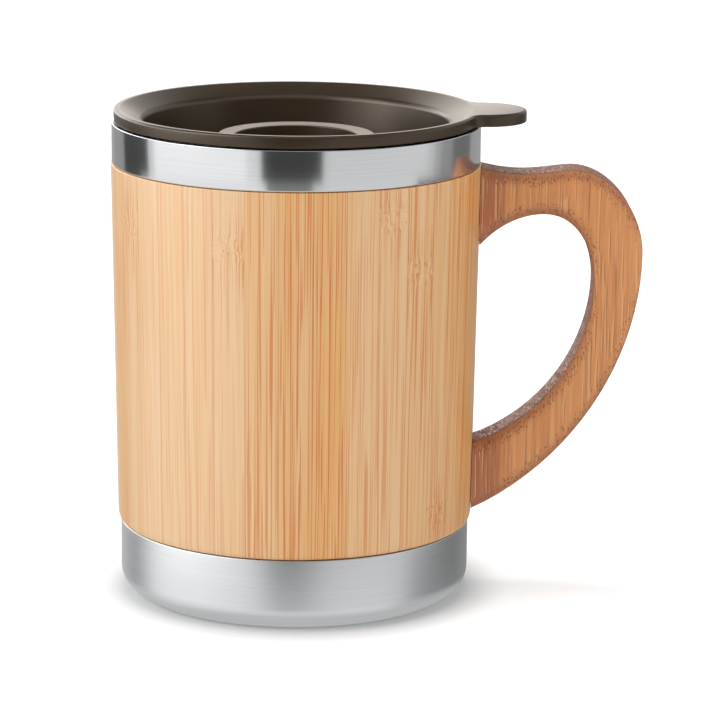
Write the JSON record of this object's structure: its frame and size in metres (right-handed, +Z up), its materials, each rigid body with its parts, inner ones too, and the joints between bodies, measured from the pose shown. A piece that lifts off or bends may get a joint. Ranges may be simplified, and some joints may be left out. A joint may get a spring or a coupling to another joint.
{
  "type": "double-walled mug",
  "caption": "Double-walled steel mug with a bamboo sleeve, a C-shaped bamboo handle, a steel foot, and a dark plastic plug lid with a thumb tab and a dial that opens a drinking slot.",
  "frame": {"origin": "middle of the foot's flat underside, on the mug's axis", "axes": "+Z up the mug's axis, +X from the axis towards the handle, +Y away from the side that the picture shows"},
  "size_m": [0.1223, 0.085, 0.113],
  "materials": {
    "satin_steel": "satin, brushed round the axis",
    "polished_steel": "polished, with faint brush lines round the axis",
    "inner_steel": "brushed",
    "sleeve_bamboo": "pale bamboo staves under a satin lacquer",
    "handle_bamboo": "caramel laminated bamboo under a satin lacquer",
    "screw_steel": "plated",
    "lid_plastic": "satin moulded plastic, dark brown",
    "seal_silicone": "matte silicone"
  },
  "bodies": {
    "cup": {"base_cup": "satin_steel", "outer_shell": "polished_steel", "inner_cup": "inner_steel", "bamboo_sleeve": "sleeve_bamboo", "handle": "handle_bamboo", "handle_screw_upper": "screw_steel", "handle_screw_lower": "screw_steel"},
    "lid": {"lid_body": "lid_plastic", "lid_seal": "seal_silicone"},
    "dial": {"turn_dial": "lid_plastic", "shutter_disc": "lid_plastic"}
  },
  "joints": [
    {"name": "lid_lift", "type": "slide", "parent": "cup", "child": "lid", "axis": [0, 0, 1], "range_m": [0, 0.06]},
    {"name": "dial_turn", "type": "hinge", "parent": "lid", "child": "dial", "pos_m": [0, 0, 0.0996], "axis": [0, 0, 1], "range_deg": [0, 90]}
  ]
}
